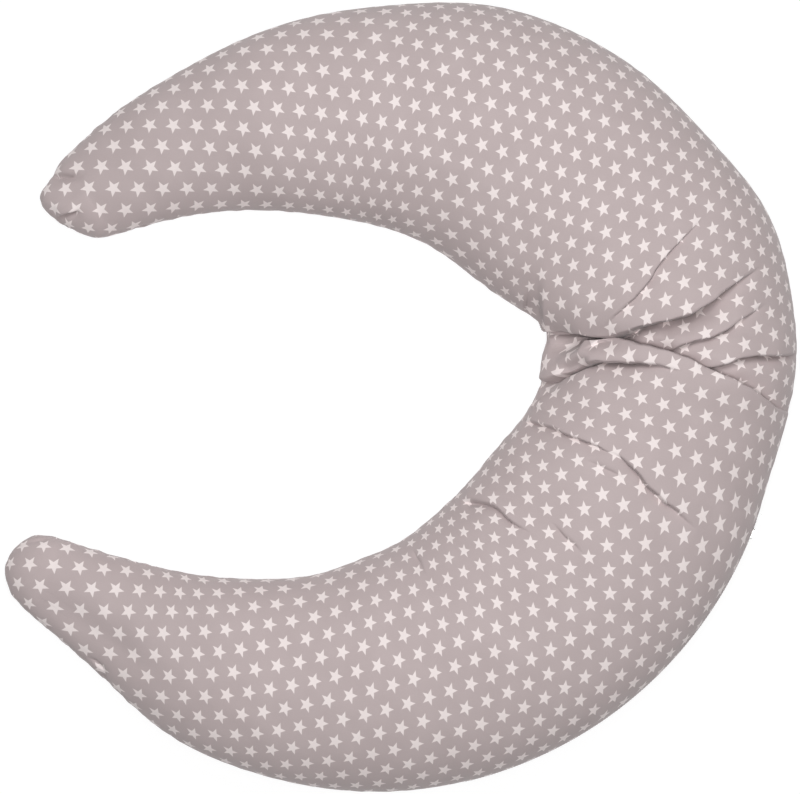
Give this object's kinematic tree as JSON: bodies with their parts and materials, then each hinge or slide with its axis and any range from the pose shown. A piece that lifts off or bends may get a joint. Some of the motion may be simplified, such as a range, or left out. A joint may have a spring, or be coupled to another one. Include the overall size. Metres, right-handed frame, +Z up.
{
  "type": "nursing pillow",
  "caption": "Crescent nursing pillow with a printed zip-off cotton cover over a sewn lining and a bead filling; lies flat, open side to one side.",
  "frame": {"origin": "middle of the footprint, on the surface the pillow lies on", "axes": "+Z up from the surface, -X towards the open side of the crescent, +Y towards the upper arm"},
  "size_m": [0.7944, 0.7896, 0.167],
  "materials": {
    "star_cotton": "woven, printed",
    "lining_cotton": "woven, plain",
    "bead_fill": "foam beads",
    "thread": "spun thread",
    "zip_tape": "woven tape",
    "zip_coil": "nylon monofilament",
    "zip_metal": "nickel plated"
  },
  "bodies": {
    "pillow": {"cover_top_panel": "star_cotton", "cover_bottom_panel": "star_cotton", "cover_seam_overlock": "thread", "lining_top_panel": "lining_cotton", "lining_bottom_panel": "lining_cotton", "lining_seam_overlock": "thread", "lining_closure_stitch": "thread", "filling": "bead_fill", "zip_tape_upper": "zip_tape", "zip_tape_lower": "zip_tape", "zip_coil_upper": "zip_coil", "zip_coil_lower": "zip_coil", "zip_top_stop_upper": "zip_metal", "zip_top_stop_lower": "zip_metal", "zip_bottom_stop": "zip_metal"},
    "slider": {"zip_slider": "zip_metal"},
    "pull_tab": {"zip_pull_tab": "zip_metal"}
  },
  "joints": [
    {"name": "slider_travel", "type": "hinge", "parent": "pillow", "child": "slider", "pos_m": [-0.02737, 0.01346, 0.072], "axis": [0, 0, -1], "range_deg": [0, 52.9]},
    {"name": "pull_tab_swing", "type": "hinge", "parent": "slider", "child": "pull_tab", "pos_m": [0.3563, -0.13776, 0.072], "axis": [0, 0, -1], "range_deg": [0, 170]}
  ]
}
